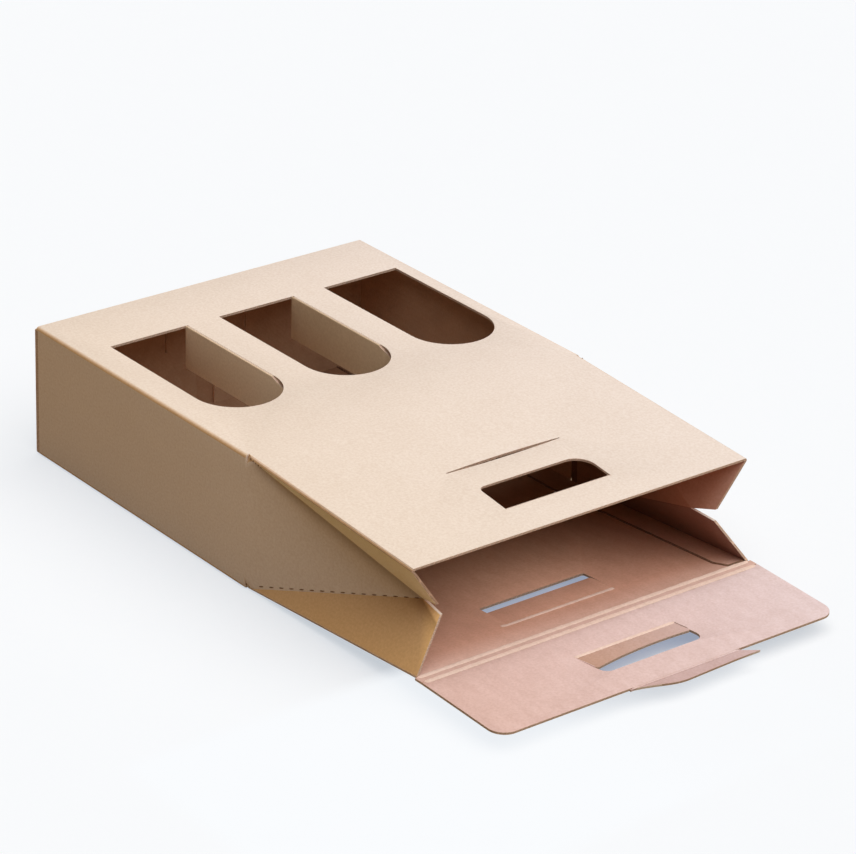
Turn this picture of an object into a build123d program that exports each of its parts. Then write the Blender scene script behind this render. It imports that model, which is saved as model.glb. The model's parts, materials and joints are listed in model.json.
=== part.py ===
from build123d import *
from math import cos, radians, sin, tan
import os

os.makedirs("parts", exist_ok=True)

# Bottle shipping box, lying on its back panel. X runs across the carton, Y runs from
# the mouth (low) to the base (high), Z is up. All sizes are in millimetres.

# Board and outer carton sizes.
BOARD = 1.5
WIDTH = 258.0
DEPTH = 89.0
BODY_LENGTH = 228.0
FOLD_ROUND = 2.2
MOUTH_FOLD_ROUND = 1.4
CREASE_GAP = 0.2
CUT_GAP = 0.2

# Mouth end: the two sides fold inwards behind the nick line.
FRONT_PANEL_LENGTH = 159.5
BACK_PANEL_LENGTH = 167.8
FRONT_SLOPE = 3.2
BACK_SLOPE = 4.25
GUSSET_APEX = 142.0
GUSSET_APEX_HEIGHT = 46.0
GUSSET_TUCK = 10.3
FRONT_TIP_INSET = 8.3
BACK_TIP_INSET = 5.5

# Three windows in the front panel, each with a round end towards the mouth.
WINDOW_WIDTH = 59.0
WINDOW_LENGTH = 123.0
WINDOW_PITCH = 83.3
WINDOW_FIRST_EDGE = 21.5
WINDOW_FROM_BASE = 53.0

# Divider flaps: the arc starts with a short straight run, so the flap clears the panel.
DIVIDER_EASE = 5.0

# Slit in the front panel that takes the tuck tab.
SLIT_START = 88.3
SLIT_WIDTH = 87.0
SLIT_FROM_NICK = 80.2
SLIT_HEIGHT = 3.2
SLIT_END_HEIGHT = 0.8

# Hand holes. Each one keeps a finger flap on one crease, with an open slot past its end.
# A lean moves an end of the far edge along X.
FINGER_CORNER = 1.5
FRONT_HOLE_START = 91.2
FRONT_HOLE_WIDTH = 80.2
FRONT_HOLE_FROM_END = 26.1
FRONT_HOLE_DEPTH = 29.5
FRONT_HOLE_LEAN = 2.0
FRONT_HOLE_LEFT_CORNER = 5.0
FRONT_HOLE_RIGHT_CORNER = 12.5
FRONT_FINGER_LENGTH = 21.0
FRONT_FINGER_CORNER = 5.0
FRONT_FINGER_ANGLE = 83.0
BACK_HOLE_START = 87.2
BACK_HOLE_WIDTH = 81.0
BACK_HOLE_FROM_END = 21.5
BACK_HOLE_DEPTH = 29.6
BACK_HOLE_LEAN = 0.0
BACK_HOLE_CORNER = 1.5
BACK_FINGER_LENGTH = 21.9
BACK_FINGER_ANGLE = 1.5
CLOSURE_HOLE_START = 91.5
CLOSURE_HOLE_WIDTH = 76.2
CLOSURE_HOLE_CREASE = 24.8
CLOSURE_HOLE_DEPTH = 24.2
CLOSURE_HOLE_LEAN = 4.0
CLOSURE_HOLE_LEFT_CORNER = 7.0
CLOSURE_HOLE_RIGHT_CORNER = 5.5
CLOSURE_FINGER_LEFT = 17.0
CLOSURE_FINGER_MIDDLE = 12.4
CLOSURE_FINGER_RIGHT = 13.0
CLOSURE_FINGER_ANGLE = 2.0

# Closure: a narrow spine, the flap and its tuck tab.
SPINE_WIDTH = 6.4
SPINE_ANGLE = 0.0
CLOSURE_LENGTH = 70.2
CLOSURE_ANGLE = 1.8
CLOSURE_CORNER = 11.0
TAB_START = 95.0
TAB_WIDTH = 84.0
TAB_REACH = 7.7
TAB_ANGLE = 8.5
TAB_EAR = 10.8
TAB_EAR_FROM = 6.2
TAB_LEFT_RISE = 20.0
TAB_RIGHT_FLAT = 9.0
TAB_EDGE_STEP = 1.4

# Base flaps and glue flap.
DUST_FLAP_GAP = 14.0
OUTER_FLAP_SHORT = 2.0
SEAM = 0.25
SEAM_DEPTH = 5.0
LOCK_SLOT_AT = 97.3
LOCK_SLOT_WIDTH = 1.2
LOCK_SLOT_LOW = 47.0
LOCK_SLOT_HIGH = 68.0
GLUE_FLAP_WIDTH = 19.0
GLUE_FLAP_SHORT = 2.5
GLUE_FLAP_CHAMFER = 9.0

# Derived places.
HALF_BOARD = BOARD / 2
CREASE_SETBACK = HALF_BOARD + CREASE_GAP
HALF_WIDTH = WIDTH / 2
FRONT_HOLE_CREASE = FRONT_PANEL_LENGTH - FRONT_HOLE_FROM_END
FRONT_HOLE_FAR = FRONT_HOLE_CREASE - FRONT_HOLE_DEPTH
BACK_HOLE_CREASE = BACK_PANEL_LENGTH - BACK_HOLE_FROM_END
BACK_HOLE_FAR = BACK_HOLE_CREASE - BACK_HOLE_DEPTH
CLOSURE_HOLE_FAR = CLOSURE_HOLE_CREASE + CLOSURE_HOLE_DEPTH
BASE_Y = BODY_LENGTH / 2
NICK_Y = -BODY_LENGTH / 2
INNER_BASE_Y = BASE_Y - 3 * BOARD
FAR = 600.0


def across(from_left):
    # A position measured from the left side, as an X value.
    return from_left - HALF_WIDTH


APEX_IN = GUSSET_APEX * sin(radians(GUSSET_TUCK))
APEX_OUT = GUSSET_APEX * cos(radians(GUSSET_TUCK))


def leaf(origin, rise):
    # Sheet frame: its -Y runs towards the mouth and climbs by the given angle.
    tilt = radians(rise)
    return Plane(origin=origin, x_dir=(1, 0, 0), z_dir=(0, sin(tilt), cos(tilt)))


FRONT_LEAF = leaf((0, NICK_Y, DEPTH), -FRONT_SLOPE)
BACK_LEAF = leaf((0, NICK_Y, 0), BACK_SLOPE)


def on_leaf(sheet, x, y, z):
    return sheet.from_local_coords(Vector(x, y, z))


SPINE_AXIS = on_leaf(BACK_LEAF, 0, -BACK_PANEL_LENGTH, HALF_BOARD)
SPINE_LEAF = leaf(SPINE_AXIS, SPINE_ANGLE)
CLOSURE_AXIS = on_leaf(SPINE_LEAF, 0, -SPINE_WIDTH, 0)
CLOSURE_LEAF = leaf(CLOSURE_AXIS, SPINE_ANGLE - CLOSURE_ANGLE)
TAB_AXIS = on_leaf(CLOSURE_LEAF, 0, -CLOSURE_LENGTH - CREASE_SETBACK, 0)
TAB_LEAF = leaf(TAB_AXIS, SPINE_ANGLE - CLOSURE_ANGLE - TAB_ANGLE)
FRONT_FINGER_AXIS = on_leaf(FRONT_LEAF, 0, CREASE_SETBACK - FRONT_HOLE_CREASE, -HALF_BOARD)
BACK_FINGER_AXIS = on_leaf(BACK_LEAF, 0, CREASE_SETBACK - BACK_HOLE_CREASE, HALF_BOARD)
CLOSURE_FINGER_AXIS = on_leaf(CLOSURE_LEAF, 0, -CLOSURE_HOLE_CREASE - CREASE_SETBACK, 0)


def block(x_span, y_span, z_span):
    return Pos(x_span[0], y_span[0], z_span[0]) * Box(
        x_span[1] - x_span[0],
        y_span[1] - y_span[0],
        z_span[1] - z_span[0],
        align=(Align.MIN, Align.MIN, Align.MIN),
    )


def half_space(point, normal, side_point):
    # A large block that fills the side of a plane on which side_point lies.
    away = Vector(*normal)
    if away.dot(side_point - point) < 0:
        away = away * -1
    face = Plane(origin=point, z_dir=away)
    return face * Pos(0, 0, FAR / 2) * Box(FAR, FAR, FAR), away


def gusset_wedge(inset):
    # Space outside the three folded triangles of the left side, moved in by inset.
    nick_top = Vector(-HALF_WIDTH, NICK_Y, DEPTH)
    nick_low = Vector(-HALF_WIDTH, NICK_Y, 0)
    apex = Vector(APEX_IN - HALF_WIDTH, NICK_Y - APEX_OUT, GUSSET_APEX_HEIGHT)
    mouth_top = on_leaf(FRONT_LEAF, -HALF_WIDTH, -FRONT_PANEL_LENGTH, 0)
    mouth_low = on_leaf(BACK_LEAF, -HALF_WIDTH, -BACK_PANEL_LENGTH, 0)
    outside = Vector(-HALF_WIDTH, NICK_Y - APEX_OUT, GUSSET_APEX_HEIGHT)
    wedge = None
    for first, second in ((nick_top, nick_low), (nick_top, mouth_top), (nick_low, mouth_low)):
        normal = (first - apex).cross(second - apex).normalized()
        if normal.dot(outside - apex) < 0:
            normal = normal * -1
        side, _ = half_space(apex - normal * inset, normal, outside + normal * FAR)
        wedge = side if wedge is None else wedge & side
    return wedge


def both_sides(shape):
    return shape, mirror(shape, about=Plane.YZ)


def mouth_corners(inset, reach):
    # Side view of the space between the sloping front and back panels.
    top_far = on_leaf(FRONT_LEAF, 0, -reach, -inset)
    low_far = on_leaf(BACK_LEAF, 0, -reach, inset)
    return [
        (NICK_Y + inset * tan(radians(FRONT_SLOPE / 2)), DEPTH - inset),
        (top_far.Y, top_far.Z),
        (low_far.Y, low_far.Z),
        (NICK_Y + inset * tan(radians(BACK_SLOPE / 2)), inset),
    ]


def prism(corners, width):
    profile = Plane.YZ * make_face(Polyline(*corners, close=True))
    return extrude(profile, amount=width / 2, both=True)


def carton_shell():
    # Outer skin less inner space, so that every wall is one board thick.
    rear = block((-HALF_WIDTH, HALF_WIDTH), (NICK_Y, BASE_Y), (0, DEPTH))
    rear = fillet(rear.edges().filter_by(Axis.Y), FOLD_ROUND)
    mouth = prism(mouth_corners(0, 1.3 * BACK_PANEL_LENGTH), WIDTH)
    for wedge in both_sides(gusset_wedge(0)):
        mouth -= wedge
    folds = [
        edge
        for edge in mouth.edges()
        if edge.length > BODY_LENGTH / 2
        and abs(abs(edge.center().X) - HALF_WIDTH) < 0.01
        and abs(edge.center().Y - NICK_Y) > 5
    ]
    mouth = fillet(folds, MOUTH_FOLD_ROUND)
    outer = rear + mouth
    base_corners = [(INNER_BASE_Y, BOARD), (INNER_BASE_Y, DEPTH - BOARD)]
    room_corners = mouth_corners(BOARD, 1.4 * BACK_PANEL_LENGTH) + base_corners
    room = prism(room_corners, WIDTH - 2 * BOARD)
    for wedge in both_sides(gusset_wedge(BOARD)):
        room -= wedge
    return outer, room


def mouth_trim():
    # Everything past the ends of the front and back panels, and the notch between
    # the upper and lower triangle tips on each side.
    upper = FRONT_LEAF * block(
        (-HALF_WIDTH - 5, HALF_WIDTH + 5),
        (-FAR, -FRONT_PANEL_LENGTH),
        (-DEPTH, DEPTH),
    )
    upper &= block((-FAR, FAR), (-FAR, FAR), (GUSSET_APEX_HEIGHT, FAR))
    lower = BACK_LEAF * block(
        (-HALF_WIDTH - 5, HALF_WIDTH + 5),
        (-FAR, CREASE_SETBACK - BACK_PANEL_LENGTH),
        (-DEPTH, DEPTH),
    )
    lower &= block((-FAR, FAR), (-FAR, FAR), (-FAR, GUSSET_APEX_HEIGHT))
    apex = Vector(APEX_IN - HALF_WIDTH, NICK_Y - APEX_OUT, GUSSET_APEX_HEIGHT)
    mouth_top = on_leaf(FRONT_LEAF, -HALF_WIDTH, -FRONT_PANEL_LENGTH, 0)
    mouth_low = on_leaf(BACK_LEAF, -HALF_WIDTH, -BACK_PANEL_LENGTH, 0)
    top_fold = (mouth_top - Vector(-HALF_WIDTH, NICK_Y, DEPTH)).normalized()
    low_fold = (mouth_low - Vector(-HALF_WIDTH, NICK_Y, 0)).normalized()
    up = apex - mouth_top
    up = (up - top_fold * up.dot(top_fold)).normalized()
    down = apex - mouth_low
    down = (down - low_fold * down.dot(low_fold)).normalized()
    top_tip = mouth_top + up * (DEPTH / 2 - FRONT_TIP_INSET)
    low_tip = mouth_low + down * (DEPTH / 2 - BACK_TIP_INSET)
    top_reach = apex + (top_tip - apex) * 4
    low_reach = apex + (low_tip - apex) * 4
    corners = [(p.Y, p.Z) for p in (apex, top_reach, low_reach)]
    notch = Plane.YZ * make_face(Polyline(*corners, close=True))
    return upper, lower, extrude(notch, amount=WIDTH, both=True)


def window_outline(grow):
    # Square end towards the base, round end towards the mouth; local Y = 0 is the base end.
    half = WINDOW_WIDTH / 2 - grow
    straight = WINDOW_LENGTH - WINDOW_WIDTH / 2
    shape = Pos(0, -straight / 2 - grow / 2) * Rectangle(2 * half, straight - grow)
    return shape + Pos(0, -straight) * Circle(half)


def window_cuts():
    cuts = []
    for number in range(3):
        middle = across(WINDOW_FIRST_EDGE + number * WINDOW_PITCH + WINDOW_WIDTH / 2)
        place = Pos(middle, BASE_Y - WINDOW_FROM_BASE, DEPTH - 2 * BOARD)
        cuts.append(place * extrude(window_outline(0), amount=3 * BOARD))
    return cuts


def hand_hole(start, width, crease, far, lean, left_corner, right_corner):
    # Outline on a leaf: straight along the crease, rounded corners at the far edge.
    left = across(start)
    right = left + width
    corners = [(left, -crease), (left + lean, -far), (right + lean, -far), (right, -crease)]
    shape = make_face(Polyline(*corners, close=True))
    far_ends = [v for v in shape.vertices() if abs(v.Y + far) < 0.01]
    shape = fillet([min(far_ends, key=lambda v: v.X)], left_corner)
    far_ends = [v for v in shape.vertices() if abs(v.Y + far) < 0.01]
    return fillet([max(far_ends, key=lambda v: v.X)], right_corner)


def slit_outline():
    # A thin slot, a little wider in the middle than at its ends.
    left = across(SLIT_START)
    right = across(SLIT_START + SLIT_WIDTH)
    middle = (left + right) / 2
    end = SLIT_END_HEIGHT / 2
    half = SLIT_HEIGHT / 2
    upper = ThreePointArc((left, end), (middle, half), (right, end))
    lower = ThreePointArc((right, -end), (middle, -half), (left, -end))
    slot = make_face([upper, Line((right, end), (right, -end)), lower, Line((left, -end), (left, end))])
    return Pos(0, -SLIT_FROM_NICK) * slot


def base_details(shell):
    # Three layers: dust flaps inside, then the front and back major flaps.
    half_gap = DUST_FLAP_GAP / 2
    shell -= block(
        (-half_gap, half_gap), (INNER_BASE_Y - 1, INNER_BASE_Y + BOARD), (BOARD, DEPTH - BOARD)
    )
    slot = across(LOCK_SLOT_AT)
    for side in (1, -1):
        shell -= block(
            (side * slot - LOCK_SLOT_WIDTH / 2, side * slot + LOCK_SLOT_WIDTH / 2),
            (INNER_BASE_Y - 1, INNER_BASE_Y + BOARD),
            (LOCK_SLOT_LOW, LOCK_SLOT_HIGH),
        )
    shell -= block(
        (-HALF_WIDTH - 1, HALF_WIDTH + 1),
        (BASE_Y - BOARD, BASE_Y + 1),
        (DEPTH - OUTER_FLAP_SHORT, DEPTH + 1),
    )
    for layer, low in ((1, FOLD_ROUND), (2, BOARD)):
        middle = BASE_Y - layer * BOARD
        for side in (-1, 1):
            edge = sorted((side * (HALF_WIDTH + 1), side * (HALF_WIDTH - SEAM_DEPTH)))
            shell -= block(
                edge, (middle - SEAM / 2, middle + SEAM / 2), (low, DEPTH - FOLD_ROUND)
            )
    return shell


def glue_flap(outer):
    # Strip folded from the right side and glued inside the back panel.
    left = across(WIDTH - BOARD - GLUE_FLAP_WIDTH)
    right = HALF_WIDTH - BOARD
    flat = block((left, right), (NICK_Y - 0.2, INNER_BASE_Y), (BOARD / 2, 2 * BOARD))
    end = GLUE_FLAP_SHORT - BACK_PANEL_LENGTH
    outline = make_face(
        Polyline(
            (left, 1),
            (left, end + GLUE_FLAP_CHAMFER),
            (left + GLUE_FLAP_CHAMFER / 2, end),
            (right, end),
            (right, 1),
            close=True,
        )
    )
    sloping = BACK_LEAF * Pos(0, 0, BOARD / 2) * extrude(outline, amount=1.5 * BOARD)
    return (flat + sloping) & outer


def carton_body():
    outer, room = carton_shell()
    shell = outer - room
    shell = base_details(shell)
    shell += glue_flap(outer)
    for cut in mouth_trim():
        shell -= cut
    for cut in window_cuts():
        shell -= cut
    front_hole = hand_hole(
        FRONT_HOLE_START,
        FRONT_HOLE_WIDTH,
        FRONT_HOLE_CREASE,
        FRONT_HOLE_FAR,
        FRONT_HOLE_LEAN,
        FRONT_HOLE_LEFT_CORNER,
        FRONT_HOLE_RIGHT_CORNER,
    )
    shell -= FRONT_LEAF * Pos(0, 0, -2 * BOARD) * extrude(front_hole, amount=3 * BOARD)
    shell -= FRONT_LEAF * Pos(0, 0, -2 * BOARD) * extrude(slit_outline(), amount=3 * BOARD)
    back_hole = hand_hole(
        BACK_HOLE_START,
        BACK_HOLE_WIDTH,
        BACK_HOLE_CREASE,
        BACK_HOLE_FAR,
        BACK_HOLE_LEAN,
        BACK_HOLE_CORNER,
        BACK_HOLE_CORNER,
    )
    shell -= BACK_LEAF * Pos(0, 0, -BOARD) * extrude(back_hole, amount=3 * BOARD)
    return shell


def hinge_roll(start, width):
    # Half-round edge whose centre line is the crease.
    return Pos(across(start + width / 2), 0, 0) * Rot(0, 90, 0) * Cylinder(HALF_BOARD, width)


def plate(outline):
    return Pos(0, 0, -HALF_BOARD) * extrude(outline, amount=BOARD)


def closure_spine():
    strip = Pos(0, (CREASE_SETBACK - SPINE_WIDTH) / 2) * Rectangle(
        WIDTH, SPINE_WIDTH - CREASE_SETBACK
    )
    return SPINE_LEAF * (plate(strip) + hinge_roll(0, WIDTH))


def closure_flap():
    shape = Pos(0, -CLOSURE_LENGTH / 2) * Rectangle(WIDTH, CLOSURE_LENGTH)
    shape = fillet(shape.vertices().sort_by(Axis.Y)[:2], CLOSURE_CORNER)
    sheet = plate(shape) + hinge_roll(0, WIDTH)
    hole = hand_hole(
        CLOSURE_HOLE_START,
        CLOSURE_HOLE_WIDTH,
        CLOSURE_HOLE_CREASE,
        CLOSURE_HOLE_FAR,
        CLOSURE_HOLE_LEAN,
        CLOSURE_HOLE_LEFT_CORNER,
        CLOSURE_HOLE_RIGHT_CORNER,
    )
    sheet -= Pos(0, 0, -BOARD) * extrude(hole, amount=2 * BOARD)
    return CLOSURE_LEAF * sheet


def tuck_tab():
    left = across(TAB_START)
    right = across(TAB_START + TAB_WIDTH)
    ear = right + TAB_EAR
    shoulder = (right - TAB_RIGHT_FLAT, TAB_EDGE_STEP - TAB_REACH)
    outline = make_face(
        [
            Spline(
                (left, 0),
                (left + TAB_LEFT_RISE, -TAB_REACH * 0.58),
                (left + TAB_LEFT_RISE * 1.9, -TAB_REACH),
                tangents=((1, -0.12), (1, 0)),
            ),
            Line((left + TAB_LEFT_RISE * 1.9, -TAB_REACH), shoulder),
            Line(shoulder, (ear, -TAB_EAR_FROM)),
            Line((ear, -TAB_EAR_FROM), (right, -HALF_BOARD)),
            Line((right, -HALF_BOARD), (right, 0)),
            Line((right, 0), (left, 0)),
        ]
    )
    return TAB_LEAF * (plate(outline) + hinge_roll(TAB_START, TAB_WIDTH))


def finger_flap(start, width, slant, corner, left_length, middle_length, right_length):
    # Local Y = 0 is the crease axis and the flap reaches towards -Y. Its sides follow the
    # sides of the hole, and its free edge may be cut in a bow.
    shift = slant * CREASE_SETBACK
    left = across(start) + CUT_GAP + shift
    right = across(start + width) - CUT_GAP + shift
    left_tip = (left + slant * left_length, -left_length)
    right_tip = (right + slant * right_length, -right_length)
    free_edge = Line(left_tip, right_tip)
    if middle_length != left_length:
        middle = ((left_tip[0] + right_tip[0]) / 2, -middle_length)
        free_edge = ThreePointArc(left_tip, middle, right_tip)
    sides = [Line((right, 0), (left, 0)), Line((left, 0), left_tip), Line(right_tip, (right, 0))]
    shape = make_face([free_edge, *sides])
    tips = [v for v in shape.vertices() if v.Y < -HALF_BOARD]
    shape = fillet(tips, corner)
    taper = slant * HALF_BOARD
    roll_start = start + CUT_GAP + shift + taper
    return plate(shape) + hinge_roll(roll_start, right - left - 2 * taper)


def closure_finger_flap():
    flap = finger_flap(
        CLOSURE_HOLE_START,
        CLOSURE_HOLE_WIDTH,
        CLOSURE_HOLE_LEAN / CLOSURE_HOLE_DEPTH,
        FINGER_CORNER,
        CLOSURE_FINGER_LEFT,
        CLOSURE_FINGER_MIDDLE,
        CLOSURE_FINGER_RIGHT,
    )
    rise = SPINE_ANGLE - CLOSURE_ANGLE + CLOSURE_FINGER_ANGLE
    return leaf(CLOSURE_FINGER_AXIS, rise) * flap


def front_finger_flap():
    slant = FRONT_HOLE_LEAN / FRONT_HOLE_DEPTH
    lengths = (FRONT_FINGER_LENGTH,) * 3
    flap = finger_flap(FRONT_HOLE_START, FRONT_HOLE_WIDTH, slant, FRONT_FINGER_CORNER, *lengths)
    flap = mirror(flap, about=Plane.XZ)
    return leaf(FRONT_FINGER_AXIS, FRONT_FINGER_ANGLE - FRONT_SLOPE) * flap


def back_finger_flap():
    slant = BACK_HOLE_LEAN / BACK_HOLE_DEPTH
    lengths = (BACK_FINGER_LENGTH,) * 3
    flap = finger_flap(BACK_HOLE_START, BACK_HOLE_WIDTH, slant, FINGER_CORNER, *lengths)
    flap = mirror(flap, about=Plane.XZ)
    return leaf(BACK_FINGER_AXIS, BACK_SLOPE + BACK_FINGER_ANGLE) * flap


def divider_flap(number):
    # Right half of a window, hanging from the window's right edge.
    edge = across(WINDOW_FIRST_EDGE + number * WINDOW_PITCH + WINDOW_WIDTH)
    drop = WINDOW_WIDTH / 2 - CREASE_SETBACK
    straight = WINDOW_LENGTH - WINDOW_WIDTH / 2
    half = block((-drop, 0), (-WINDOW_LENGTH, 0), (-HALF_BOARD, HALF_BOARD))
    shape = Pos(CREASE_SETBACK - WINDOW_WIDTH / 2, 0) * window_outline(CUT_GAP)
    radius = WINDOW_WIDTH / 2 - CUT_GAP
    run = (radius ** 2 - (drop - DIVIDER_EASE) ** 2) ** 0.5
    ease = make_face(
        Polyline(
            (1, -straight),
            (0, -straight),
            (-DIVIDER_EASE, -straight - run),
            (-DIVIDER_EASE, -WINDOW_LENGTH - 1),
            (1, -WINDOW_LENGTH - 1),
            close=True,
        )
    )
    sheet = plate(shape - ease) & half
    roll = Pos(0, -straight / 2 - CUT_GAP / 2, 0) * Rot(90, 0, 0)
    sheet += roll * Cylinder(HALF_BOARD, straight - CUT_GAP)
    axis_x = edge - CREASE_SETBACK
    place = Pos(axis_x, BASE_Y - WINDOW_FROM_BASE, DEPTH - HALF_BOARD)
    return place * Rot(0, -90, 0) * sheet


PARTS = {
    "carton_body": carton_body(),
    "closure_spine": closure_spine(),
    "closure_flap": closure_flap(),
    "tuck_tab": tuck_tab(),
    "closure_finger_flap": closure_finger_flap(),
    "front_finger_flap": front_finger_flap(),
    "back_finger_flap": back_finger_flap(),
    "divider_flap_left": divider_flap(0),
    "divider_flap_middle": divider_flap(1),
}

for name, shape in PARTS.items():
    solids = shape.solids()
    box = shape.bounding_box()
    print(name, "solids", len(solids), "volume", round(shape.volume, 1))
    print("   ", [round(v, 2) for v in (*box.min, *box.max)])
    export_step(solids[0] if len(solids) == 1 else shape, "parts/" + name + ".step")

for name, point in (
    ("spine", SPINE_AXIS),
    ("closure", CLOSURE_AXIS),
    ("tab", TAB_AXIS),
    ("front_finger", FRONT_FINGER_AXIS),
    ("back_finger", BACK_FINGER_AXIS),
    ("closure_finger", CLOSURE_FINGER_AXIS),
):
    print(name, "axis", [round(v, 3) for v in point])
for label, place in (
    ("nick_top", Vector(-HALF_WIDTH, NICK_Y, DEPTH)),
    ("nick_low", Vector(-HALF_WIDTH, NICK_Y, 0)),
    ("apex", Vector(APEX_IN - HALF_WIDTH, NICK_Y - APEX_OUT, GUSSET_APEX_HEIGHT)),
):
    print(label, [round(value, 3) for value in (place.X, place.Y, place.Z)])
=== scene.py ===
import json
import math

import bmesh
import bpy
from bpy.props import FloatProperty, FloatVectorProperty, PointerProperty
from bpy.types import Operator, Panel, PropertyGroup
from mathutils import Matrix, Vector
from mathutils.bvhtree import BVHTree


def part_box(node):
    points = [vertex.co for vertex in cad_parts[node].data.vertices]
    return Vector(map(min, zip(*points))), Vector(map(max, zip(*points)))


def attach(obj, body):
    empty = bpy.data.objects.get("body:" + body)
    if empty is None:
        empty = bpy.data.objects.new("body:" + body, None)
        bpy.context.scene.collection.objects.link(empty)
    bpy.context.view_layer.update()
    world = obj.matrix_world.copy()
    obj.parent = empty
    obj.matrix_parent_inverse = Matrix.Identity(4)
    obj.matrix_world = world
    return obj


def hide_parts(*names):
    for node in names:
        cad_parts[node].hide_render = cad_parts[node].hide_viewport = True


bl_info = {
    "name": "Bottle Carton Dresser",
    "version": (1, 0, 0),
    "blender": (4, 5, 0),
    "location": "View3D > Sidebar > Bottle Carton",
    "description": "Gives a folded bottle carton its liners, cut edges, creases and perforations",
    "category": "Object",
}

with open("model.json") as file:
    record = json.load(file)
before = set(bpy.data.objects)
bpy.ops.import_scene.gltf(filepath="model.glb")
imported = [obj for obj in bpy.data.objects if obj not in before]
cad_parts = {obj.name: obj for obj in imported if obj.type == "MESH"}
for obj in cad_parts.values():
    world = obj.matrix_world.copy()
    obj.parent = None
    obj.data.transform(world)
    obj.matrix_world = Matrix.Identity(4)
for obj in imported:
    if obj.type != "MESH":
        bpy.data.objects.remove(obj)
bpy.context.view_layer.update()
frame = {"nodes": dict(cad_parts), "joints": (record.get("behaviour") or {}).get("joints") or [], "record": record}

AXES = {joint["name"]: Vector(joint["pos_m"]) for joint in frame["joints"]}
BODIES = frame["record"]["behaviour"]["bodies"]
NODE_BODY = {node: body for body, nodes in BODIES.items() for node in nodes}
BODY_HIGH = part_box("carton_body")[1]
HALF_WIDTH = BODY_HIGH.x
MID_HEIGHT = BODY_HIGH.z / 2
# The glue flap's edge in X, and where the sides start to fold inwards in Y.
FLAP_EDGE = HALF_WIDTH - 0.0205
NICK_Y = -0.114
# On the left side: the point where the three triangles meet, the free tip of the lower one,
# and how far that tip is moved when it is trimmed.
APEX = Vector((-0.10361, -0.253712, 0.046))
TIP = Vector((-0.10530, -0.27803, 0.04415))
TIP_TRIM = Vector((0.00035, 0.0052, 0.0001))


# Settings


class BoardLook(PropertyGroup):
    """Paper liners and fluted core of the board"""

    # The outer liner pales from left to right, partly its own tone and partly painted light.
    outer_color: FloatVectorProperty(
        name="Outer Liner", description="Kraft liner on the outside, left side",
        subtype="COLOR", size=3, min=0, max=1, default=(0.885, 0.750, 0.630),
    )
    outer_right: FloatVectorProperty(
        name="Outer Liner Right", description="Kraft liner on the outside, right side",
        subtype="COLOR", size=3, min=0, max=1, default=(0.890, 0.772, 0.690),
    )
    # Painted shade: the inner liner darkens deep inside the carton.
    inner_deep_shade: FloatVectorProperty(
        name="Inner Liner", description="Darker liner deep inside the carton",
        subtype="COLOR", size=3, min=0, max=1, default=(0.520, 0.315, 0.195),
    )
    # Painted light: the inner liner is paler and pinker at the mouth.
    inner_mouth_light: FloatVectorProperty(
        name="Inner Liner Mouth", description="Paler, pink liner inside the mouth",
        subtype="COLOR", size=3, min=0, max=1, default=(0.840, 0.480, 0.355),
    )
    # Painted light: the inner liner is palest beside the spine.
    inner_rim_light: FloatVectorProperty(
        name="Inner Liner Rim", description="Palest part of the inner liner, beside the spine",
        subtype="COLOR", size=3, min=0, max=1, default=(0.865, 0.580, 0.485),
    )
    # The closure's liner pales from left to right, partly its own tone and partly painted light.
    lid_color: FloatVectorProperty(
        name="Closure Liner", description="Inner liner of the closure and the spine, left side",
        subtype="COLOR", size=3, min=0, max=1, default=(0.775, 0.530, 0.465),
    )
    lid_right: FloatVectorProperty(
        name="Closure Liner Right",
        description="Inner liner of the closure and the spine, right side",
        subtype="COLOR", size=3, min=0, max=1, default=(0.835, 0.672, 0.665),
    )
    # Painted golden shade where the outer liner turns round a fold.
    fold_golden_shade: FloatVectorProperty(
        name="Fold Rim", description="Golden tint of the liner where it is stretched round a fold",
        subtype="COLOR", size=3, min=0, max=1, default=(0.860, 0.660, 0.420),
    )
    # Painted golden shade on the lower triangle of each folded-in side.
    lower_triangle_shade: FloatVectorProperty(
        name="Lower Triangle",
        description="Golden tint of the lower triangle of each folded-in side",
        subtype="COLOR", size=3, min=0, max=1, default=(0.820, 0.600, 0.340),
    )
    core_color: FloatVectorProperty(
        name="Fluted Core", description="Wavy middle paper that shows in the cut edges",
        subtype="COLOR", size=3, min=0, max=1, default=(0.760, 0.560, 0.430),
    )
    board: FloatProperty(
        name="Board", description="Thickness of the board",
        subtype="DISTANCE", min=0.0005, max=0.005, default=0.0015,
    )
    flute_pitch: FloatProperty(
        name="Flute Pitch", description="Distance from one flute to the next",
        subtype="DISTANCE", min=0.001, max=0.01, default=0.0034,
    )
    edge_round: FloatProperty(
        name="Edge Round", description="How far a cut edge is crushed by the die",
        subtype="DISTANCE", min=0.0, max=0.0006, default=0.00008,
    )
    streak: FloatProperty(
        name="Streaks", description="Strength of the streaks in the inner liner",
        subtype="FACTOR", min=0, max=1, default=0.85,
    )
    mottle: FloatProperty(
        name="Mottle", description="Strength of the cloudy colour variation",
        subtype="FACTOR", min=0, max=1, default=0.15,
    )
    fleck: FloatProperty(
        name="Flecks", description="Strength of the small dark fibres",
        subtype="FACTOR", min=0, max=1, default=0.5,
    )


class CreaseLook(PropertyGroup):
    """Pressed crease lines"""

    bead_radius: FloatProperty(
        name="Bead Radius", description="Height of the raised bead above the crease line",
        subtype="DISTANCE", min=0.0005, max=0.003, default=0.00104,
    )
    bead_width: FloatProperty(
        name="Bead Width", description="Width of a ridge as a share of its plain width",
        subtype="FACTOR", min=0.5, max=2, default=1.0,
    )
    # The ridges are paler partly as stretched paper and partly as a painted highlight.
    bead_color: FloatVectorProperty(
        name="Bead Colour", description="Paler paper where a crease is stretched",
        subtype="COLOR", size=3, min=0, max=1, default=(0.915, 0.700, 0.595),
    )


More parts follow.
